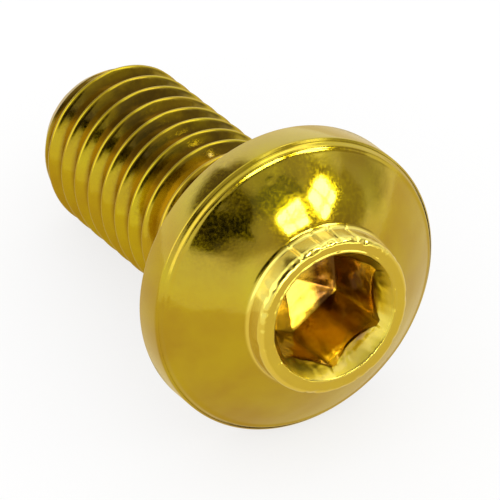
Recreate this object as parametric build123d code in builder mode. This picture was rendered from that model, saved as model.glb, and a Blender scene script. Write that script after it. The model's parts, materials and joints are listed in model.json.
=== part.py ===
from build123d import *
import math
import os

# Button head screw M8 x 1.25 x 16 with a hexagon socket, one cold-headed piece with a rolled
# thread. It is modelled upright: the bearing face under the head is at z = 0, the head is above
# it and the shank below. Its -X side faces up once the last step has laid the screw on the floor.
# All lengths are in millimetres and all angles in degrees.

# Shank
thread_diameter = 7.8  # over the crests, within the 6g limits of a nominal 8 mm
screw_length = 16.0  # from the bearing face to the tip
tip_diameter = 6.0  # flat end, inside the chamfer
tip_chamfer_length = 1.5
neck_diameter = 7.1  # plain part under the head, as thick as the blank before thread rolling
neck_length = 2.5
swell_length = 1.25  # from the neck to the full diameter of the thread
neck_chamfer = 0.4  # slanted foot of the neck, against the bearing face
seam_turn = 2.0  # turn of the closing line of the round faces, off the lowest line at rest

# Thread
thread_pitch = 1.25
thread_depth = 0.72
flank_angle = 30.0  # each flank leans by this from square to the axis
thread_end = 4.4  # the groove keeps its full depth from the tip up to here, below the head
groove_lead_in = 0.88  # the middle of the groove starts this far beyond the tip
groove_clearance = 0.1  # the groove's cutter stands out over the crests by this

# Head
head_diameter = 14.0
head_height = 4.97
flange_thickness = 1.5  # straight outer edge of the head
dome_sagitta = 0.14  # how far the sloping top bulges out of a straight cone
collar_diameter = 7.5  # raised ring round the mouth of the socket
collar_height = 1.17
bearing_edge_chamfer = 0.1
flange_edge_radius = 0.3
collar_root_radius = 0.35
collar_edge_radius = 0.4

# Hexagon socket
socket_width = 4.93  # across the flats
socket_depth = 4.07  # from the rim to the floor, beside the walls
socket_turn = -2.3  # turn of the hexagon from having a corner on the X axis
mouth_diameter = 6.12
mouth_cone_angle = 60.0  # full angle of the lead-in cone
mouth_edge_chamfer = 0.1
punch_taper_height = 1.1  # lowest part of the walls, tapered like the end of the heading punch
punch_taper_angle = 6.0
floor_point_depth = 0.45  # the floor is a shallow pyramid, with its point down

# Pose on the floor
lying_turn = 15.0  # turn about the vertical, which swings the head from +X towards +Y

thread_radius = thread_diameter / 2
tip_radius = tip_diameter / 2
neck_radius = neck_diameter / 2
head_radius = head_diameter / 2
collar_radius = collar_diameter / 2
mouth_radius = mouth_diameter / 2
collar_base = head_height - collar_height
taper_top = head_height - socket_depth + punch_taper_height
socket_floor = head_height - socket_depth
floor_width = socket_width - 2 * punch_taper_height * math.tan(math.radians(punch_taper_angle))
mouth_cone_slope = math.tan(math.radians(mouth_cone_angle / 2))
cone_end_radius = socket_width / 4  # the lead-in cone ends inside the socket
cone_end_height = head_height - (mouth_radius - cone_end_radius) / mouth_cone_slope

# Section of the right-hand thread groove, as radius and height over the middle of the groove
thread_flat = thread_pitch / 8  # width of the crest
flank_slope = math.tan(math.radians(flank_angle))
root_radius = thread_radius - thread_depth
cutter_radius = thread_radius + groove_clearance
half_root = (thread_pitch - thread_flat) / 2 - thread_depth * flank_slope
half_opening = (thread_pitch - thread_flat) / 2 + groove_clearance * flank_slope
groove_section = [
    (cutter_radius, -half_opening),
    (root_radius, -half_root),
    (root_radius, half_root),
    (cutter_radius, half_opening),
]

# Its corners follow a helix at full depth, and then one turn of a cone that leaves the blank
groove_start = -screw_length - groove_lead_in
groove_length = screw_length + groove_lead_in - thread_end
run_out_angle = math.degrees(math.atan2(thread_depth, thread_pitch))
full_corners = [
    Helix(thread_pitch, groove_length, radius, center=(0, 0, groove_start + height))
    for radius, height in groove_section
]
run_out_corners = [
    Helix(
        thread_pitch / math.cos(math.radians(run_out_angle)),
        thread_pitch,
        radius,
        center=(0, 0, height - thread_end),
        cone_angle=run_out_angle,
    ).rotate(Axis.Z, 360 * groove_length / thread_pitch)
    for radius, height in groove_section
]
groove_walls = [
    Face.make_surface_from_curves(corners[i - 1], corners[i])
    for corners in (full_corners, run_out_corners)
    for i in range(len(groove_section))
]
groove_ends = [
    Face(Wire.make_polygon([corner @ 0 for corner in full_corners])),
    Face(Wire.make_polygon([corner @ 1 for corner in run_out_corners])),
]
with BuildPart() as groove_cutter:
    add(Solid(Shell(groove_walls + groove_ends)))

with BuildPart() as upright_screw:
    # The blank, as one revolved half profile: tip, shank, neck, flange, sloping top, collar and
    # the lead-in cone of the socket
    with BuildSketch(Plane.XZ.rotated((0, 0, seam_turn))) as blank_profile:
        with BuildLine():
            Polyline(
                (collar_radius, collar_base),
                (collar_radius, head_height),
                (mouth_radius, head_height),
                (cone_end_radius, cone_end_height),
                (0, cone_end_height),
                (0, -screw_length),
                (tip_radius, -screw_length),
                (thread_radius, tip_chamfer_length - screw_length),
                (thread_radius, -neck_length - swell_length),
                (neck_radius, -neck_length),
                (neck_radius, 0),
                (head_radius, 0),
                (head_radius, flange_thickness),
            )
            SagittaArc(
                (head_radius, flange_thickness), (collar_radius, collar_base), -dome_sagitta
            )
        make_face()
        rounded_corners = [
            ((head_radius, flange_thickness), flange_edge_radius),
            ((collar_radius, collar_base), collar_root_radius),
            ((collar_radius, head_height), collar_edge_radius),
        ]
        for corner, corner_radius in rounded_corners:
            fillet(blank_profile.vertices().sort_by_distance(corner)[0], radius=corner_radius)
        chamfered_corners = [
            ((neck_radius, 0), neck_chamfer),
            ((head_radius, 0), bearing_edge_chamfer),
            ((mouth_radius, head_height), mouth_edge_chamfer),
        ]
        for corner, corner_length in chamfered_corners:
            chamfer(blank_profile.vertices().sort_by_distance(corner)[0], length=corner_length)
    revolve(axis=Axis.Z)

    # Straight walls of the socket
    with BuildSketch(Plane.XY.offset(head_height)):
        RegularPolygon(socket_width / 2, 6, major_radius=False, rotation=socket_turn)
    extrude(amount=taper_top - head_height, mode=Mode.SUBTRACT)

    # Tapered end of the socket
    with BuildSketch(Plane.XY.offset(taper_top)):
        RegularPolygon(socket_width / 2, 6, major_radius=False, rotation=socket_turn)
    extrude(amount=-punch_taper_height, taper=punch_taper_angle, mode=Mode.SUBTRACT)

    # Pointed floor of the socket
    with BuildSketch(Plane.XY.offset(socket_floor)) as floor_outline:
        RegularPolygon(floor_width / 2, 6, major_radius=False, rotation=socket_turn)
    floor_point = Vertex(0, 0, socket_floor - floor_point_depth)
    loft(sections=[floor_outline.sketch.face(), floor_point], mode=Mode.SUBTRACT)

    # Thread
    add(groove_cutter.part, mode=Mode.SUBTRACT)

    # Lengthwise cut, which shows the corners of the thread
    lengthwise_section = section(section_by=Plane.XZ, mode=Mode.PRIVATE)

# At rest the screw lies on the edge of its head and on the thread corner on its +X side that
# meets the floor first as the screw tips over
rest_tilt = min(
    math.degrees(math.atan2(head_radius - corner.X, bearing_edge_chamfer - corner.Z))
    for corner in lengthwise_section.vertices()
    if corner.X > 0 and corner.Z < -thread_end
)
with BuildPart(Plane.XY.rotated((0, 0, lying_turn))) as lying_screw:
    add(upright_screw.part, rotation=(0, 90 - rest_tilt, 0))

# The part's origin is on the floor, under the middle of the screw
lying_box = lying_screw.part.bounding_box()
with BuildPart() as button_head_screw:
    with Locations((-lying_box.center().X, -lying_box.center().Y, -lying_box.min.Z)):
        add(lying_screw.part)

os.makedirs("parts", exist_ok=True)
button_head_screw.part.label = "button_head_screw"
export_step(button_head_screw.part, "parts/button_head_screw.step")
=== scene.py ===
"""Button head screw lying at rest: its visual model, the floor it lies on, the light and the camera."""

import json
import logging
import math
from dataclasses import dataclass, field, replace
from enum import Enum

import bpy
from mathutils import Matrix, Vector, noise


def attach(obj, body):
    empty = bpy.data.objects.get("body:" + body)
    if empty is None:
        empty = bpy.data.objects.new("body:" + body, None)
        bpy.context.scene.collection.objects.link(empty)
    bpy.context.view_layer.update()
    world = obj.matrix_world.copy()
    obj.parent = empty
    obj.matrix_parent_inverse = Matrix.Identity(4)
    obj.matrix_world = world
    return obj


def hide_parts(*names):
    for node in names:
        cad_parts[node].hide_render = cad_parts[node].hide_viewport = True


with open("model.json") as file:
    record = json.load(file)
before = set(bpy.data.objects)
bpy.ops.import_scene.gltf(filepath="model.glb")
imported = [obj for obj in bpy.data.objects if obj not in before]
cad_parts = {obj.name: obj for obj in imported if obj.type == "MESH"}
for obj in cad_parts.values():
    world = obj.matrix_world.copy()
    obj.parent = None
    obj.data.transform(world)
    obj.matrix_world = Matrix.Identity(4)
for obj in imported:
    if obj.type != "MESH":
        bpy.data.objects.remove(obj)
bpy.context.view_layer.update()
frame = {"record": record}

MM = 0.001
HEXAGON_SIDE_ANGLE = 60.0
SENSOR_WIDTH_MM = 36.0
WHITE = "#FFFFFF"
ProfilePoint = tuple[float, float]  # radius and height
NodeSocket = bpy.types.NodeSocket
log = logging.getLogger("button_head_screw")


def smooth_step(low: float, high: float, value: float) -> float:
    """Eases from 0 at low to 1 at high.

    Args:
        low: Value where the step starts.
        high: Value where the step ends.
        value: Value to ease.

    Returns:
        The eased share, from 0 to 1.
    """
    share = min(1.0, max(0.0, (value - low) / (high - low)))
    return share * share * (3.0 - 2.0 * share)


def linear(srgb_hex: str) -> tuple[float, float, float, float]:
    """Turns an sRGB hex colour into the linear colour that a shader reads.

    Args:
        srgb_hex: Colour such as "#D8B64A".

    Returns:
        Linear red, green, blue and an alpha of 1.
    """
    channels = [int(srgb_hex[i:i + 2], 16) / 255 for i in (1, 3, 5)]
    red, green, blue = (c / 12.92 if c <= 0.04045 else ((c + 0.055) / 1.055) ** 2.4 for c in channels)
    return (red, green, blue, 1.0)


def direction(azimuth: float, elevation: float) -> Vector:
    """Gives the unit vector of a direction.

    Args:
        azimuth: Turn from X towards Y, in degrees.
        elevation: Rise over the floor, in degrees.

    Returns:
        The vector.
    """
    turn, rise = math.radians(azimuth), math.radians(elevation)
    return Vector((math.cos(turn) * math.cos(rise), math.sin(turn) * math.cos(rise), math.sin(rise)))


@dataclass(frozen=True)
class Span:
    """A stretch of one measure: it grows to whole over its start and fades away over its end."""

    start: tuple[float, float] | None = None
    end: tuple[float, float] | None = None

    def share(self, value: float) -> float:
        """Gives how much a value is in the span.

        Args:
            value: Value of the measure.

        Returns:
            The share, from 0 to 1.
        """
        grown = smooth_step(*self.start, value) if self.start else 1.0
        faded = smooth_step(*self.end, value) if self.end else 0.0
        return grown * (1.0 - faded)


@dataclass(frozen=True)
class Zone:
    """A zone of the screw's surface, as spans of four measures in the screw's own millimetres.

    Radius counts from the axis and height from the bearing face. Upward and sideways are the own X
    and Y, where X is the side of the screw that faces up.
    """

    radius: Span = Span()
    height: Span = Span()
    upward: Span = Span()
    sideways: Span = Span()

    def spans(self) -> tuple[Span, Span, Span, Span]:
        """Lists the spans in the order of the measures."""
        return (self.radius, self.height, self.upward, self.sideways)

    def share(self, point: Vector) -> float:
        """Gives how much a point is in the zone.

        Args:
            point: Point in the screw's own millimetres.

        Returns:
            The share, from 0 to 1.
        """
        measures = (math.hypot(point.x, point.y), point.z, point.x, point.y)
        return math.prod(span.share(value) for span, value in zip(self.spans(), measures))


# Zones that differ in colour or polish
GROOVES = Zone(radius=Span(end=(3.38, 3.62)), height=Span(end=(-0.3, 0.3)))
UPPER_FLANKS_PAINTED_SHADE = Zone(radius=Span(end=(3.8, 3.86)), height=Span((-16.1, -15.1), (-3.7, -2.7)),
                    upward=Span(start=(2.33, 2.77)))
SHANK = Zone(height=Span(end=(-0.4, 0.0)))
NECK = Zone(height=Span((-5.9, -4.5), (-0.75, 0.65)))
COLLAR_SIDE_PAINTED_HIGHLIGHT = Zone(radius=Span((3.5, 3.6), (3.79, 3.89)), height=Span(start=(3.65, 3.85)))
RIM_AND_CONE_PAINTED_HIGHLIGHT = Zone(radius=Span((2.63, 2.73), (3.55, 3.65)), height=Span(start=(3.85, 4.15)))
CONE = Zone(radius=Span((2.46, 2.54), (2.98, 3.06)), height=Span(start=(3.8, 4.0)))
SOCKET = Zone(radius=Span(end=(2.52, 2.72)), height=Span((0.1, 0.3), (4.5, 4.7)))
SOCKET_SIDE_PAINTED_SHADE = replace(SOCKET, sideways=Span(end=(-1.55, -1.05)))

# Zones that differ in wear
SLOPE = Zone(radius=Span(start=(3.8, 4.1)), height=Span(start=(1.5, 1.9)))
OUTER_EDGE = Zone(radius=Span(start=(3.35, 3.6)), height=Span(start=(4.2, 4.6)))
MOUTH_EDGE = Zone(radius=Span((2.7, 3.0), (3.2, 3.4)), height=Span(start=(4.5, 4.8)))
CONE_FACE = Zone(radius=Span((2.5, 2.62), (2.9, 3.0)), height=Span(start=(3.9, 4.3)))
COLLAR_FACE = Zone(radius=Span((3.55, 3.7), (3.85, 4.1)), height=Span(start=(3.7, 3.9)))
SOCKET_WALLS = Zone(radius=Span((0.6, 1.0), (2.6, 2.75)))


@dataclass(frozen=True)
class Placing:
    """Where the lying screw is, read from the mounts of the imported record."""

    bearing_centre: Vector
    axis: Vector

    @classmethod
    def from_record(cls, record: dict) -> "Placing":
        """Reads the screw's axis and the centre of the face under its head.

        Args:
            record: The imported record.

        Returns:
            The placing, in metres.
        """
        mounts = {mount["name"]: mount for mount in record["mounts"]}
        axis = -Vector(mounts["bearing_face"]["axis"]).normalized()
        on_axis = Vector(mounts["threaded_shank"]["pos_m"])
        to_face = Vector(mounts["bearing_face"]["pos_m"]) - on_axis
        return cls(on_axis + axis * to_face.dot(axis), axis)

    def azimuth(self) -> float:
        """Gives the azimuth of the way that the head points, in degrees."""
        return math.degrees(math.atan2(self.axis.y, self.axis.x))

    def matrix(self) -> Matrix:
        """Gives the transform from the screw's own millimetres to metres in the row's frame.

        Returns:
            A matrix whose X is the side of the screw that faces up and whose Z is its axis.
        """
        upper_side = (Vector((0, 0, 1)) - self.axis * self.axis.z).normalized()
        cross_side = self.axis.cross(upper_side)
        turn = Matrix((upper_side, cross_side, self.axis)).transposed().to_4x4()
        return Matrix.Translation(self.bearing_centre) @ turn @ Matrix.Scale(MM, 4)


@dataclass
class MetricThread:
    """A rolled right-hand ISO thread, as radius over angle and height, in millimetres."""

    pitch: float = 1.25
    crest_radius: float = 3.90
    flank_angle: float = 30.0
    crest_height_on_top: float = -13.13
    crest_edge_radius: float = 0.04
    tip_radius: float = 3.0
    tip_height: float = -16.0
    chamfer_length: float = 1.5
    neck_radius: float = 3.55
    runout: tuple[float, float] = (-4.6, -2.9)

    def sharp_height(self) -> float:
        """Height of the thread's full triangle."""
        return self.pitch / 2 / math.tan(math.radians(self.flank_angle))

    def root_rounding(self) -> float:
        """Radius of the rounded root."""
        return self.sharp_height() / 6

    def depth(self) -> float:
        """Depth of the groove from the crest, where the crest cuts off an eighth of the triangle."""
        lost = self.root_rounding() * (1 / math.sin(math.radians(self.flank_angle)) - 1)
        return 7 / 8 * self.sharp_height() - lost

    def drop(self, distance: float) -> float:
        """Gives how far the surface lies below the crest.

        Args:
            distance: Distance along the axis from the middle of the crest, up to half a pitch.

        Returns:
            The drop in millimetres.
        """
        slope = 1 / math.tan(math.radians(self.flank_angle))
        rounding = self.root_rounding()
        from_root = self.pitch / 2 - distance
        if from_root < rounding * math.cos(math.radians(self.flank_angle)):
            return self.depth() - rounding + math.sqrt(rounding**2 - from_root**2)
        half_crest = self.pitch / 16
        past_edge = distance - half_crest
        return slope * (past_edge + math.hypot(past_edge, self.crest_edge_radius)) / 2

    def radius(self, angle: float, height: float) -> float:
        """Gives the threaded shank's radius.

        Args:
            angle: Turn round the axis from the upper side, in degrees.
            height: Height along the axis from the bearing face.

        Returns:
            The radius in millimetres.
        """
        turns = (height - self.crest_height_on_top) / self.pitch - angle / 360
        distance = abs(turns - round(turns)) * self.pitch
        threaded = self.crest_radius - self.drop(distance)
        fade = smooth_step(*self.runout, height)
        threaded += (self.neck_radius - threaded) * fade
        taper = (self.crest_radius - self.tip_radius) / self.chamfer_length
        return min(threaded, self.tip_radius + taper * (height - self.tip_height))


@dataclass
class HexSocket:
    """The hexagon socket with its lead-in cone, tapered end and pointed floor, in millimetres."""

    width: float = 4.93
    corner_turn: float = -2.3
    corner_setback: float = 0.0155
    mouth_radius: float = 3.06
    cone_half_angle: float = 30.0
    taper_top: float = 2.0
    taper_inset: float = 0.11
    floor_height: float = 0.90
    floor_point: float = 0.45
    cone_rows: int = 8
    wall_rows: int = 10
    taper_rows: int = 4
    floor_rows: int = 8

    def cone_height(self, radius: float, rim_height: float) -> float:
        """Gives the lead-in cone's height at a radius.

        Args:
            radius: Distance from the axis.
            rim_height: Height of the rim, where the cone starts.

        Returns:
            The height.
        """
        return rim_height - (self.mouth_radius - radius) / math.tan(math.radians(self.cone_half_angle))

    def wall_radius(self, angle: float, inset: float = 0.0) -> float:
        """Gives the distance from the axis to the hexagon's wall, with softened corners.

        Args:
            angle: Turn round the axis from the upper side, in degrees.
            inset: How far the walls stand in from the full width.

        Returns:
            The radius in millimetres.
        """
        half_side = HEXAGON_SIDE_ANGLE / 2
        off_flat = abs((angle - self.corner_turn) % HEXAGON_SIDE_ANGLE - half_side)
        flat = self.width / 2 - inset
        radius = flat / math.cos(math.radians(off_flat))
        to_corner = flat / math.cos(math.radians(half_side)) - radius
        return radius - self.corner_setback * math.exp(-to_corner / self.corner_setback / 2)

    def points(self, angle: float, start: ProfilePoint, rim_height: float) -> list[ProfilePoint]:
        """Lists a column's points inside the socket, as radius and height.

        Args:
            angle: Turn round the axis from the upper side, in degrees.
            start: Last point of the head's outline, on the lead-in cone.
            rim_height: Height of the rim.

        Returns:
            Points from the lead-in cone down the wall and over the floor, without its centre.
        """
        wall = self.wall_radius(angle)
        # In the hexagon's corners the wall stands out past the start, so its top is level with that
        wall_top = (wall, min(start[1], self.cone_height(wall, rim_height)))
        points = line_points(start, wall_top, self.cone_rows)
        points += line_points(wall_top, (wall, self.taper_top), self.wall_rows)
        for i in range(1, self.taper_rows + 1):
            share = i / self.taper_rows
            radius = self.wall_radius(angle, self.taper_inset * share)
            points.append((radius, self.taper_top + (self.floor_height - self.taper_top) * share))
        floor_centre = (0.0, self.floor_height - self.floor_point)
        return points + line_points(points[-1], floor_centre, self.floor_rows)[:-1]


def line_points(start: ProfilePoint, end: ProfilePoint, steps: int) -> list[ProfilePoint]:
    """Lists evenly spaced points of a straight line.

    Args:
        start: Start of the line, which isn't listed.
        end: End of the line, the last point.
        steps: Number of points.

    Returns:
        The points.
    """
    shares = [i / steps for i in range(1, steps + 1)]
    return [tuple(a + (b - a) * share for a, b in zip(start, end)) for share in shares]


@dataclass(frozen=True)
class Corner:
    """A corner of a turned outline, as radius and height, with the radius of its rounding."""

    radius: float
    height: float
    rounding: float = 0.0
    arc_steps: int = 1


def round_corners(corners: list[Corner]) -> list[ProfilePoint]:
    """Replaces each rounded corner of an open outline by an arc.

    Args:
        corners: The corners in order.

    Returns:
        The points of the rounded outline, as radius and height.
    """
    sharp = [(corner.radius, corner.height) for corner in corners]
    points = []
    for i, corner in enumerate(corners):
        if corner.rounding == 0.0:
            points.append(sharp[i])
            continue
        here = Vector(sharp[i])
        back = (Vector(sharp[i - 1]) - here).normalized()
        ahead = (Vector(sharp[i + 1]) - here).normalized()
        half = back.angle(ahead) / 2
        tangent = corner.rounding / math.tan(half)
        centre = here + (back + ahead).normalized() * (corner.rounding / math.sin(half))
        first = here + back * tangent - centre
        last = here + ahead * tangent - centre
        sweep = first.angle_signed(last)
        for step in range(corner.arc_steps + 1):
            turned = first.copy()
            turned.rotate(Matrix.Rotation(-sweep * step / corner.arc_steps, 2))
            points.append(tuple(centre + turned))
    return points


@dataclass
class HeadProfile:
    """The turned outline of the head, from the neck up to the mouth of the socket, in millimetres."""

    neck_radius: float = 3.55
    neck_start: float = -1.2
    neck_fillet: float = 0.4
    head_radius: float = 7.0
    bearing_edge: float = 0.1
    flange_thickness: float = 1.5
    flange_edge: float = 0.3
    dome_sagitta: float = 0.14
    dome_steps: int = 44
    dome_crowding: float = 1.5
    bead_radius: float = 6.68
    bead_width: float = 0.09
    bead_height: float = 0.05
    groove_radius: float = 6.86
    groove_width: float = 0.05
    groove_depth: float = 0.02
    collar_radius: float = 3.75
    collar_base: float = 3.8
    collar_root: float = 0.35
    collar_edge: float = 0.3
    height: float = 4.97
    valley_radii: tuple[float, float] = (3.38, 3.18)
    valley_depth: float = 0.035
    valley_edge: float = 0.1
    mouth_edge: float = 0.08
    cone_start: float = 0.3

    def outline(self, socket: HexSocket) -> list[ProfilePoint]:
        """Lists the outline's points as radius and height, with rounded corners.

        Args:
            socket: The socket, whose lead-in cone ends the outline.

        Returns:
            Points from the neck over the slope, the collar and the hollow rim to the lead-in cone.
        """
        dome = self.dome_points()
        valley = self.height - self.valley_depth
        on_cone = socket.mouth_radius - self.cone_start
        return round_corners([
            Corner(self.neck_radius, self.neck_start),
            Corner(self.neck_radius, 0.0, self.neck_fillet, arc_steps=5),
            Corner(self.head_radius, 0.0, self.bearing_edge, arc_steps=3),
            Corner(*dome[0], self.flange_edge, arc_steps=6),
            *[Corner(*point) for point in dome[1:-1]],
            Corner(*dome[-1], self.collar_root, arc_steps=6),
            Corner(self.collar_radius, self.height, self.collar_edge, arc_steps=8),
            *[Corner(radius, valley, self.valley_edge, arc_steps=3) for radius in self.valley_radii],
            Corner(socket.mouth_radius, self.height, self.mouth_edge, arc_steps=4),
            Corner(on_cone, socket.cone_height(on_cone, self.height)),
        ])

    def dome_points(self) -> list[ProfilePoint]:
        """Lists points of the bulging slope, which crowd near the flange's edge.

        Returns:
            Points from the flange's edge to the collar's foot, as radius and height.
        """
        start = Vector((self.head_radius, self.flange_thickness))
        end = Vector((self.collar_radius, self.collar_base))
        outward = Vector((end.y - start.y, start.x - end.x)).normalized()
        points = []
        for i in range(self.dome_steps + 1):
            share = (i / self.dome_steps) ** self.dome_crowding
            point = start.lerp(end, share)
            lift = self.dome_sagitta * 4 * share * (1 - share) + self.edge_relief(point.x)
            points.append(tuple(point + outward * lift))
        return points

    def edge_relief(self, radius: float) -> float:
        """Gives the relief that the heading die left near the flange's edge, a bead and a groove.

        Args:
            radius: Distance from the axis.

        Returns:
            How far the surface stands out from the plain slope.
        """
        bead = self.bead_height * math.exp(-((radius - self.bead_radius) / self.bead_width) ** 2)
        groove = self.groove_depth * math.exp(-((radius - self.groove_radius) / self.groove_width) ** 2)
        return bead - groove


@dataclass(frozen=True)
class Unevenness:
    """Random bumps and hollows in a zone, or separate chips where only the pattern's tops count."""

    zone: Zone
    size: float
    depth: float
    lowest_counted: float | None = None

    def height(self, point: Vector) -> float:
        """Gives the height of the bumps.

        Args:
            point: Point in the screw's own millimetres.

        Returns:
            The height in millimetres, or a chip's depth.
        """
        pattern = noise.noise(point / self.size)
        if self.lowest_counted is not None:
            pattern = max(0.0, pattern - self.lowest_counted)
        return self.depth * self.zone.share(point) * pattern


@dataclass(frozen=True)
class Wear:
    """What tumbling in bulk, knocks and the heading punch left on the head, in millimetres."""

    dents: Unevenness = Unevenness(SLOPE, size=0.85, depth=0.012)
    outer_chips: Unevenness = Unevenness(OUTER_EDGE, size=0.32, depth=0.063, lowest_counted=0.05)
    mouth_chips: Unevenness = Unevenness(MOUTH_EDGE, size=0.32, depth=0.045, lowest_counted=0.05)
    cone_marks: Unevenness = Unevenness(CONE_FACE, size=0.3, depth=0.045)
    wall_marks: Unevenness = Unevenness(SOCKET_WALLS, size=0.55, depth=0.035)
    score_angles: tuple[float, ...] = (-25.0, -11.0, 2.0, 19.0)
    score_width: float = 0.9
    score_depth: float = 0.08
    nicks: tuple[tuple[float, float], ...] = ((6.07, 0.96), (5.93, 0.41), (5.76, 0.30), (5.60, 0.27))
    nick_radius: float = 0.09
    nick_depth: float = 0.035

    def nicked(self, point: Vector) -> float:
        """Gives the depth of the slope's small nicks.

        Args:
            point: Point in the screw's own millimetres.

        Returns:
            The depth at the point.
        """
        away = [math.dist(nick, (point.x, point.y)) / self.nick_radius for nick in self.nicks]
        return self.nick_depth * SLOPE.share(point) * sum(math.exp(-a * a) for a in away)

    def scored(self, point: Vector) -> float:
        """Gives the depth of the scores across the collar, whose places and widths are in degrees.

        Args:
            point: Point in the screw's own millimetres.

        Returns:
            The depth at the point.
        """
        angle = math.degrees(math.atan2(point.y, point.x))
        away = [(angle - score) / self.score_width for score in self.score_angles]
        return self.score_depth * COLLAR_FACE.share(point) * sum(math.exp(-a * a) for a in away)

    def worn(self, point: Vector) -> Vector:
        """Moves a point of the head to where the wear leaves it, and leaves the shank as it is.

        Args:
            point: Point in the screw's own millimetres.

        Returns:
            The moved point.
        """
        if point.z < 0.0:
            return point
        chipped = self.outer_chips.height(point)
        raised = self.dents.height(point) + self.cone_marks.height(point)
        raised -= chipped + self.mouth_chips.height(point) + self.nicked(point)
        pressed_in = chipped + self.scored(point) - self.wall_marks.height(point)
        inward = Vector((-point.x, -point.y, 0.0)).normalized()
        return point + inward * pressed_in + Vector((0.0, 0.0, raised))


class Ray(Enum):
    """The kinds of ray that a shader can tell apart."""

    CAMERA = "Is Camera Ray"
    DIFFUSE = "Is Diffuse Ray"
    GLOSSY = "Is Glossy Ray"


class Recipe:
    """Adds nodes to a material or a world and links them."""

    def __init__(self, owner: bpy.types.Material | bpy.types.World) -> None:
        """Clears the owner's node tree.

        Args:
            owner: Material or world that gets the nodes.
        """
        owner.use_nodes = True
        self.tree = owner.node_tree
        self.tree.nodes.clear()

    def node(self, kind: str, settings: dict[str, object] | None = None, output: int | str = 0,
             **inputs: object) -> NodeSocket | None:
        """Adds one node with its settings and links.

        Args:
            kind: Type of the node, without the ShaderNode prefix.
            settings: Properties of the node.
            output: Name or number of the output that is wanted.
            inputs: For each input a value or a socket to link. Its key is the input's name with
                underscores, or its number after in_.

        Returns:
            The wanted output, or None where the node has no outputs.
        """
        node = self.tree.nodes.new("ShaderNode" + kind)
        for name, value in (settings or {}).items():
            setattr(node, name, value)
        for name, value in inputs.items():
            numbered = name.startswith("in_")
            socket = node.inputs[int(name[3:]) if numbered else name.replace("_", " ")]
            if isinstance(value, NodeSocket):
                self.tree.links.new(value, socket)
            else:
                socket.default_value = value
        return node.outputs[output] if node.outputs else None

    def inside(self, *tests: tuple[NodeSocket, Span]) -> NodeSocket:
        """Tells how much all of some values are in their spans.

        Args:
            tests: Values, each with its span.

        Returns:
            The product of the shares, 1 where every value is inside and 0 where one is outside.
        """
        share = 1.0
        for value, span in tests:
            for edge, outcome in ((span.start, (0.0, 1.0)), (span.end, (1.0, 0.0))):
                if edge:
                    eased = self.node("MapRange", {"interpolation_type": "SMOOTHSTEP"}, Value=value,
                                      From_Min=edge[0], From_Max=edge[1],
                                      To_Min=outcome[0], To_Max=outcome[1])
                    share = self.node("Math", {"operation": "MULTIPLY"}, in_0=share, in_1=eased)
        return share

    def by_ray(self, ray: Ray, shown: NodeSocket, other: NodeSocket) -> NodeSocket:
        """Shows a shader to one kind of ray.

        Args:
            ray: The kind of ray.
            shown: Shader that it meets.
            other: Shader that all other rays meet.

        Returns:
            The joined shader.
        """
        is_ray = self.node("LightPath", output=ray.value)
        return self.node("MixShader", in_0=is_ray, in_1=other, in_2=shown)


@dataclass(frozen=True)
class Tint:
    """A colour that lies over a finish in one zone, with its least and its most cover."""

    colour: str
    zone: Zone
    cover: tuple[float, float] = (1.0, 1.0)


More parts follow.
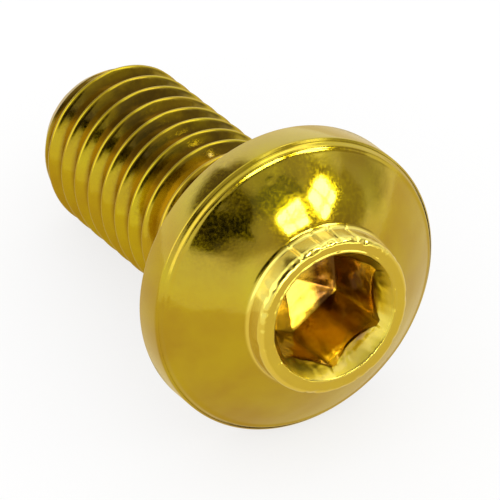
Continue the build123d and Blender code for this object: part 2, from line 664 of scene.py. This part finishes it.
@dataclass(frozen=True)
class GoldPlating:
    """Gold-coloured plating on a cold-headed steel screw, polished by tumbling and lacquered.

    It looks like a warm, slightly wavy mirror with a clear gloss over it.
    """

    colour: str = "#C8B300"
    worn_colour: str = "#BC9F08"
    tints: tuple[Tint, ...] = (
        # Painted shade, darker down in the thread: the crests stand out against the groove
        Tint("#9E7C04", GROOVES),
        # Patchy painted shade on the upper flanks, dark brown: the pale crests stand out there as lines
        Tint("#6A5406", UPPER_FLANKS_PAINTED_SHADE, cover=(0.35, 0.9)),
        # Painted light in the socket, a paler gold: it looks deep amber, since the plating there mirrors
        # itself
        Tint("#E2C23A", SOCKET),
        # Painted shade on one side of the socket: that wall looks dark brown
        Tint("#7C5408", SOCKET_SIDE_PAINTED_SHADE),
        # Slightly redder gold by the head: the run-out and the neck look amber
        Tint("#C4A61A", NECK),
        # Painted highlight on the collar's side: it looks paler than the slope
        Tint("#F0DC5A", COLLAR_SIDE_PAINTED_HIGHLIGHT),
        # Painted highlight at half strength on the rim and lead-in cone: the mouth looks a little paler than
        # the slope
        Tint("#F0DC5A", RIM_AND_CONE_PAINTED_HIGHLIGHT, cover=(0.48, 0.48)),
    )
    cloud_mm: float = 2.6
    cloud_range: tuple[float, float] = (0.35, 0.65)
    patch_mm: float = 1.6
    patch_range: tuple[float, float] = (0.38, 0.6)
    ripple_mm: float = 0.9
    ripple_depth_mm: float = 0.006
    grain_mm: float = 0.14
    grain_depth_mm: float = 0.0016
    grain_range: tuple[float, float] = (0.3, 0.7)
    roughness: tuple[float, float] = (0.09, 0.22)
    cone_roughness: float = 0.32
    thread_roughness: float = 0.2
    lacquer: float = 0.9
    lacquer_roughness: float = 0.08
    shank_thinning: float = 0.45

    def material(self) -> bpy.types.Material:
        """Builds the plating's material.

        Returns:
            The new material.
        """
        plating = bpy.data.materials.new("gold_plating_tumbled")
        recipe = Recipe(plating)
        place = recipe.node("Attribute", {"attribute_name": "own_place_mm"}, output="Vector")
        upward, sideways, height = (recipe.node("SeparateXYZ", output=axis, Vector=place) for axis in "XYZ")
        off_axis = recipe.node("CombineXYZ", X=upward, Y=sideways)
        radius = recipe.node("VectorMath", {"operation": "LENGTH"}, output="Value", in_0=off_axis)
        measures = (radius, height, upward, sideways)
        # Ripples left by the heading die: reflections get wavy, ragged edges
        ripples = recipe.node("TexNoise", Vector=place, Scale=1 / self.ripple_mm, Detail=3.0)
        rippled = recipe.node("Bump", Height=ripples, Distance=self.ripple_depth_mm * MM)
        # Grain of the tumbling, coarser than real so that it shows: fine sparkle in the highlights
        grain = recipe.node("TexNoise", Vector=place, Scale=1 / self.grain_mm, Detail=3.0)
        normal = recipe.node("Bump", Height=grain, Distance=self.grain_depth_mm * MM, Normal=rippled)
        # Thinner lacquer on the shank: the grooves of the thread stay dark
        on_shank = recipe.inside(*zip(measures, SHANK.spans()))
        thinned = recipe.node("Math", {"operation": "MULTIPLY"}, in_0=on_shank,
                              in_1=self.lacquer * self.shank_thinning)
        lacquer = recipe.node("Math", {"operation": "SUBTRACT"}, in_0=self.lacquer, in_1=thinned)
        shader = recipe.node("BsdfPrincipled", Metallic=1.0, Base_Color=self.tinted(recipe, place, measures),
                             Roughness=self.dulled(recipe, grain, measures), Normal=normal,
                             Coat_Weight=lacquer, Coat_Roughness=self.lacquer_roughness, Coat_Normal=normal)
        recipe.node("OutputMaterial", Surface=shader)
        return plating

    def tinted(self, recipe: Recipe, place: NodeSocket, measures: tuple[NodeSocket, ...]) -> NodeSocket:
        """Lays the tints over the plating's two colours.

        Args:
            recipe: Recipe of the material.
            place: Place on the screw, in its own millimetres.
            measures: Radius, height, upward and sideways place on the screw.

        Returns:
            The colour.
        """
        # Uneven colour in soft clouds: the eye reads a thin, slightly patchy coat
        clouds = recipe.node("TexNoise", Vector=place, Scale=1 / self.cloud_mm, Detail=4.0)
        cloudy = recipe.node("MapRange", Value=clouds, From_Min=self.cloud_range[0],
                             From_Max=self.cloud_range[1])
        colour = recipe.node("Mix", {"data_type": "RGBA"}, output=2, in_0=cloudy,
                             in_6=linear(self.worn_colour), in_7=linear(self.colour))
        patches = recipe.node("TexNoise", Vector=place, Scale=1 / self.patch_mm, Detail=3.0)
        for tint in self.tints:
            cover = recipe.node("MapRange", Value=patches, From_Min=self.patch_range[0],
                                From_Max=self.patch_range[1], To_Min=tint.cover[0], To_Max=tint.cover[1])
            in_zone = recipe.inside(*zip(measures, tint.zone.spans()))
            share = recipe.node("Math", {"operation": "MULTIPLY"}, in_0=in_zone, in_1=cover)
            colour = recipe.node("Mix", {"data_type": "RGBA"}, output=2, in_0=share, in_6=colour,
                                 in_7=linear(tint.colour))
        return colour

    def dulled(self, recipe: Recipe, grain: NodeSocket, measures: tuple[NodeSocket, ...]) -> NodeSocket:
        """Dulls the polish where it is worn or was never reached.

        Args:
            recipe: Recipe of the material.
            grain: Pattern of the tumbling.
            measures: Radius, height, upward and sideways place on the screw.

        Returns:
            The roughness.
        """
        rough = recipe.node("MapRange", Value=grain, From_Min=self.grain_range[0],
                            From_Max=self.grain_range[1], To_Min=self.roughness[0],
                            To_Max=self.roughness[1])
        # Scored lead-in cone and unpolished thread: they look matter than the slope
        for zone, roughness in ((CONE, self.cone_roughness), (GROOVES, self.thread_roughness)):
            in_zone = recipe.inside(*zip(measures, zone.spans()))
            least = recipe.node("Math", {"operation": "MULTIPLY"}, in_0=in_zone, in_1=roughness)
            rough = recipe.node("Math", {"operation": "MAXIMUM"}, in_0=rough, in_1=least)
        return rough


@dataclass
class ButtonHeadScrew:
    """The whole screw, one closed skin built from columns of points round its axis."""

    thread: MetricThread = field(default_factory=MetricThread)
    socket: HexSocket = field(default_factory=HexSocket)
    head: HeadProfile = field(default_factory=HeadProfile)
    wear: Wear = field(default_factory=Wear)
    finish: GoldPlating = field(default_factory=GoldPlating)
    columns: int = 288
    tip_face_turns: int = 2
    half_pitch_rows: tuple[float, ...] = (0.0, 0.05, 0.08, 0.14, 0.23, 0.32, 0.385, 0.44, 0.5)
    sharp_angle: float = 38.0

    def angles(self) -> list[float]:
        """Angles of the columns, in degrees from the upper side."""
        return [360 * i / self.columns for i in range(self.columns)]

    def shank_heights(self) -> list[float]:
        """Lists the heights of the shank's rows at angle 0, which follow the thread.

        Returns:
            Heights from below the tip up to the neck.
        """
        thread = self.thread
        shares = [*self.half_pitch_rows, *[1 - share for share in self.half_pitch_rows[-2:0:-1]]]
        first = math.floor((thread.tip_height - thread.crest_height_on_top) / thread.pitch)
        first -= self.tip_face_turns - 1
        last = math.ceil((thread.runout[1] - thread.crest_height_on_top) / thread.pitch)
        turns = [turn + share for turn in range(first, last) for share in shares]
        return [thread.crest_height_on_top + turn * thread.pitch for turn in turns]

    def shank_point(self, angle: float, height: float) -> ProfilePoint:
        """Gives a point on the tip's face or on the threaded shank.

        Args:
            angle: Turn round the axis from the upper side, in degrees.
            height: Height along the helix, whose turns below the tip run in over the tip's face.

        Returns:
            Radius and height.
        """
        tip = self.thread.tip_height
        if height >= tip:
            return (self.thread.radius(angle, height), height)
        inward = (tip - height) / (self.tip_face_turns * self.thread.pitch)
        return (self.thread.tip_radius * max(0.0, 1 - inward), tip)

    def points(self) -> list[list[ProfilePoint]]:
        """Lists the points of each column.

        Returns:
            For each column its points from the tip's face to the socket's floor.
        """
        rows = self.shank_heights()
        outline = self.head.outline(self.socket)
        table = []
        for angle in self.angles():
            climb = self.thread.pitch * angle / 360
            column = [self.shank_point(angle, height + climb) for height in rows]
            column += outline
            column += self.socket.points(angle, outline[-1], self.head.height)
            table.append(column)
        return table

    def vertices(self, table: list[list[ProfilePoint]]) -> list[tuple[float, ...]]:
        """Places the columns' points and the centres of the tip's face and the floor, and wears them.

        Args:
            table: Each column's points as radius and height.

        Returns:
            Points in the screw's own millimetres.
        """
        vertices = []
        for angle, column in zip(self.angles(), table):
            cosine, sine = math.cos(math.radians(angle)), math.sin(math.radians(angle))
            vertices += [(radius * cosine, radius * sine, height) for radius, height in column]
        vertices.append((0, 0, self.thread.tip_height))
        vertices.append((0, 0, self.socket.floor_height - self.socket.floor_point))
        return [tuple(self.wear.worn(Vector(vertex))) for vertex in vertices]

    def faces(self, shank_rows: int, rows: int) -> list[tuple[int, ...]]:
        """Joins the columns' points into one closed skin.

        The shank's rows follow the helix, so the last column meets the first one a pitch higher
        there, and a fan of triangles closes the step at each end of the helix.

        Args:
            shank_rows: Number of rows that follow the helix.
            rows: Number of rows in all.

        Returns:
            Faces as tuples of vertex indices; the two centres come after all the columns.
        """
        step = 2 * (len(self.half_pitch_rows) - 1)
        last = (self.columns - 1) * rows
        tip_centre = self.columns * rows
        floor_centre = tip_centre + 1
        top = shank_rows - 1
        faces = []
        for here in range(0, last, rows):
            there = here + rows
            faces += [(here + j, there + j, there + j + 1, here + j + 1) for j in range(rows - 1)]
            faces += [(tip_centre, there, here), (floor_centre, there - 1, there + rows - 1)]
        # The last column meets the first one: the helix, the fans at its two ends, and the rest
        faces += [(last + j, j + step, j + step + 1, last + j + 1) for j in range(top - step)]
        faces += [(last, k + 1, k) for k in range(step)]
        faces += [(last + top - step + k, top, last + top - step + k + 1) for k in range(step)]
        faces += [(last + j, j, j + 1, last + j + 1) for j in range(top, rows - 1)]
        faces += [(tip_centre, 0, last), (floor_centre, last + rows - 1, rows - 1)]
        return faces

    def build(self, placing: Placing) -> bpy.types.Object:
        """Builds the screw's mesh in the row's frame and dresses it.

        Args:
            placing: Where the screw lies.

        Returns:
            The new object.
        """
        table = self.points()
        vertices = self.vertices(table)
        mesh = bpy.data.meshes.new("button_head_screw_skin")
        mesh.from_pydata(vertices, [], self.faces(len(self.shank_heights()), len(table[0])))
        own_place = mesh.attributes.new("own_place_mm", "FLOAT_VECTOR", "POINT")
        own_place.data.foreach_set("vector", [c for vertex in vertices for c in vertex])
        mesh.transform(placing.matrix())
        mesh.update()
        mesh.shade_smooth()
        mesh.set_sharp_from_angle(angle=math.radians(self.sharp_angle))
        mesh.materials.append(self.finish.material())
        screw = bpy.data.objects.new("button_head_screw_visual", mesh)
        bpy.context.collection.objects.link(screw)
        return screw


@dataclass(frozen=True)
class Panel:
    """A soft-edged patch of the surroundings, seen from the screw.

    Azimuths count from the way that the head points, anticlockwise seen from above. The slant is
    how much the upper and lower edges rise per degree of azimuth.
    """

    azimuth: tuple[float, float]
    elevation: tuple[float, float]
    edge: float
    level: float
    tint: str = WHITE
    slant: float = 0.0

    def soft(self, limits: tuple[float, float]) -> Span:
        """Gives the span between two limits, with the panel's soft edges."""
        low, high = limits
        return Span((low - self.edge, low + self.edge), (high - self.edge, high + self.edge))

    def paint(self, recipe: Recipe, azimuth: NodeSocket, elevation: NodeSocket,
              behind: NodeSocket | tuple[float, ...]) -> NodeSocket:
        """Paints the panel over what is behind it.

        Args:
            recipe: Recipe of the world.
            azimuth: Azimuth of each direction.
            elevation: Elevation of each direction.
            behind: Colour behind the panel.

        Returns:
            The new colour.
        """
        along = recipe.node("Math", {"operation": "SUBTRACT"}, in_0=azimuth, in_1=self.azimuth[0])
        rise = recipe.node("Math", {"operation": "MULTIPLY"}, in_0=along, in_1=self.slant)
        level = recipe.node("Math", {"operation": "SUBTRACT"}, in_0=elevation, in_1=rise)
        mask = recipe.inside((azimuth, self.soft(self.azimuth)), (level, self.soft(self.elevation)))
        colour = tuple(c * self.level for c in linear(self.tint)[:3]) + (1.0,)
        return recipe.node("Mix", {"data_type": "RGBA"}, output=2, in_0=mask, in_6=behind, in_7=colour)


@dataclass(frozen=True)
class Card:
    """A small card close to the screw, bright or nearly black, in four panes with bars between them.

    It hangs off a spot that is given in the screw's own millimetres. Its direction from there is
    given as a panel's is. Nothing but its mirror image in the screw shows.
    """

    azimuth: float
    elevation: float
    width_mm: float
    height_mm: float
    distance_mm: float
    level: float
    bar_mm: float
    spot_mm: tuple[float, float, float]

    def hang(self, number: int, placing: Placing) -> None:
        """Builds the card and hangs it.

        Args:
            number: Number of the card, for its name.
            placing: Where the screw lies.
        """
        mesh = bpy.data.meshes.new("card_%d" % number)
        right, top, bar = (size * MM / 2 for size in (self.width_mm, self.height_mm, self.bar_mm))
        points = []
        for x0, x1 in ((-right, -bar), (bar, right)):
            for y0, y1 in ((-top, -bar), (bar, top)):
                points += [(x0, y0, 0), (x1, y0, 0), (x1, y1, 0), (x0, y1, 0)]
        mesh.from_pydata(points, [], [(i, i + 1, i + 2, i + 3) for i in range(0, len(points), 4)])
        paper = bpy.data.materials.new("card_paper_%d" % number)
        recipe = Recipe(paper)
        glow = recipe.node("Emission", Color=linear(WHITE), Strength=self.level)
        recipe.node("OutputMaterial", Surface=glow)
        mesh.materials.append(paper)
        outward = direction(placing.azimuth() + self.azimuth, self.elevation)
        sheet = bpy.data.objects.new("card_%d" % number, mesh)
        sheet.location = placing.matrix() @ Vector(self.spot_mm) + outward * self.distance_mm * MM
        sheet.rotation_euler = outward.to_track_quat("-Z", "Y").to_euler()
        sheet.visible_camera = False
        sheet.visible_diffuse = False
        sheet.visible_shadow = False
        bpy.context.collection.objects.link(sheet)


@dataclass
class Studio:
    """The floor, the light and the camera."""

    target_mm: tuple[float, float, float] = (1.848, -0.241, 5.303)
    distance_mm: float = 272.45
    heading_deg: float = 164.313
    elevation_deg: float = 41.998
    focal_mm: float = 440.24
    floor_reach_mm: float = 120.0
    floor_colour: str = "#F4F4F4"
    mirrored_floor: str = "#DCC274"
    floor_glow: float = 0.75
    surround_level: float = 0.95
    fill_level: float = 1.15
    panels: tuple[Panel, ...] = (
        Panel((-200, 200), (-40, 8), 10, 1.0, "#FCF4DC"),  # low, all round
        Panel((-75, 100), (43, 95), 6, 0.42, "#FFF6DC"),  # dim ceiling
        Panel((-30, 6), (23, 60), 4, 0.5, "#FFF6DC", slant=0.25),  # dim, ahead
        Panel((-125, -80), (12, 62), 4, 1.8),  # bright, on the right
        Panel((-75, -44), (36, 60), 4, 0.35, "#FFECC8"),  # dim, high on the right
        Panel((-46, -30), (25.5, 46), 3.5, 0.03, "#FFE2C8"),  # black, which darkens the slope
        Panel((-31, -4), (26, 42), 4, 0.03, "#FFE2C8", slant=0.65),  # black, joined to the last
        Panel((-182, -150), (18, 50), 4, 0.12, "#FFE2C8"),  # dark, behind
        Panel((172, 182), (24, 50), 4, 0.2, "#FFE2C8"),  # dark, behind
        Panel((2, 42), (-14, 8), 3, 3.0),  # bright strip, low ahead
        Panel((0, 62), (12, 44), 5, 0.3, "#FFECC8"),  # dim, behind the bright cards
        Panel((97, 140), (44, 88), 4, 2.2),  # bright, high on the left
        Panel((60, 96), (38, 57), 4, 2.0),  # bright, on the left
        Panel((26, 66), (59, 75), 4, 1.8),  # bright, high ahead
        Panel((54, 68), (10, 28), 3, 0.34, "#FFECC8"),  # dim, on the left
        Panel((68, 82), (2, 36), 4, 0.45, "#FFF6DC"),  # dim, on the left
    )
    cards: tuple[Card, ...] = (
        # Two windows that the slope mirrors above the collar
        Card(19.0, 39.0, 5.4, 2.9, 15.0, level=13.0, bar_mm=0.28, spot_mm=(4.54, 0.64, 3.34)),
        Card(45.0, 33.0, 4.4, 3.3, 15.0, level=13.0, bar_mm=0.28, spot_mm=(4.80, -1.05, 3.13)),
        # Light on one wall of the socket
        Card(-6.0, 31.0, 4.4, 3.6, 15.0, level=11.0, bar_mm=0.1, spot_mm=(-1.5, 0.0, 4.0)),
        # Black and dark cards that the upper flanks of the thread mirror
        Card(-15.0, 30.0, 6.5, 4.6, 25.0, level=0.01, bar_mm=0.0, spot_mm=(3.38, 1.95, -10.0)),
        Card(6.0, 35.0, 9.0, 3.4, 25.0, level=0.16, bar_mm=0.0, spot_mm=(3.8, 0.6, -10.0)),
    )

    def build(self, placing: Placing) -> None:
        """Sets up the studio round the screw.

        Args:
            placing: Where the screw lies.
        """
        self.floor()
        self.light(placing.azimuth())
        for number, card in enumerate(self.cards):
            card.hang(number, placing)
        self.camera()

    def floor(self) -> None:
        """Lays a plain pale floor under the screw, which looks white and is mirrored as warm."""
        mesh = bpy.data.meshes.new("floor")
        reach = self.floor_reach_mm * MM
        mesh.from_pydata([(-reach, -reach, 0), (reach, -reach, 0), (reach, reach, 0), (-reach, reach, 0)],
                         [], [(0, 1, 2, 3)])
        paint = bpy.data.materials.new("pale_floor")
        recipe = Recipe(paint)
        lit = recipe.node("BsdfDiffuse", Color=linear(self.floor_colour))
        shader = lit
        for ray, colour in ((Ray.CAMERA, WHITE), (Ray.GLOSSY, self.mirrored_floor)):
            glow = recipe.node("Emission", Color=linear(colour), Strength=1.0)
            glowing = recipe.node("MixShader", in_0=self.floor_glow, in_1=lit, in_2=glow)
            shader = recipe.by_ray(ray, glowing, shader)
        recipe.node("OutputMaterial", Surface=shader)
        mesh.materials.append(paint)
        floor = bpy.data.objects.new("floor", mesh)
        bpy.context.collection.objects.link(floor)

    def light(self, head_azimuth: float) -> None:
        """Lights the screw from pale surroundings with bright and dark panels in them.

        Args:
            head_azimuth: Azimuth of the way that the head points, in degrees.
        """
        world = bpy.data.worlds.new("studio")
        bpy.context.scene.world = world
        recipe = Recipe(world)
        seen_way = recipe.node("TexCoord", output="Generated")
        x, y, z = (recipe.node("SeparateXYZ", output=axis, Vector=seen_way) for axis in "XYZ")
        turn = recipe.node("Math", {"operation": "ARCTAN2"}, in_0=y, in_1=x)
        turn = recipe.node("Math", {"operation": "DEGREES"}, in_0=turn)
        turn = recipe.node("Math", {"operation": "SUBTRACT"}, in_0=turn, in_1=head_azimuth)
        azimuth = recipe.node("Math", {"operation": "WRAP"}, in_0=turn, in_1=-180.0, in_2=180.0)
        rise = recipe.node("Math", {"operation": "ARCSINE"}, in_0=z)
        elevation = recipe.node("Math", {"operation": "DEGREES"}, in_0=rise)
        colour = (self.surround_level, self.surround_level, self.surround_level, 1.0)
        for panel in self.panels:
            colour = panel.paint(recipe, azimuth, elevation, colour)
        shader = recipe.node("Background", Color=colour, Strength=1.0)
        # Even light on dull surfaces, and a white backdrop for the camera
        for ray, level in ((Ray.DIFFUSE, self.fill_level), (Ray.CAMERA, 1.0)):
            plain = recipe.node("Background", Color=linear(WHITE), Strength=level)
            shader = recipe.by_ray(ray, plain, shader)
        recipe.node("OutputWorld", Surface=shader)

    def camera(self) -> None:
        """Places the camera at the viewing angle, with a long lens."""
        data = bpy.data.cameras.new("camera")
        data.sensor_width = SENSOR_WIDTH_MM
        data.lens = self.focal_mm
        camera = bpy.data.objects.new("camera", data)
        bpy.context.collection.objects.link(camera)
        forward = direction(self.heading_deg, -self.elevation_deg)
        camera.location = (Vector(self.target_mm) - forward * self.distance_mm) * MM
        camera.rotation_euler = forward.to_track_quat("-Z", "Y").to_euler()
        bpy.context.scene.camera = camera


def main() -> None:
    """Builds the screw and the studio around it."""
    logging.basicConfig(level=logging.INFO, format="%(message)s")
    bpy.context.scene.view_settings.view_transform = "Standard"
    placing = Placing.from_record(frame["record"])
    screw = ButtonHeadScrew().build(placing)
    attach(screw, "root")
    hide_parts("button_head_screw")
    log.info("button head screw: %d faces", len(screw.data.polygons))
    Studio().build(placing)
    log.info("studio: floor, light, cards and camera")


if __name__ == "__main__":
    main()
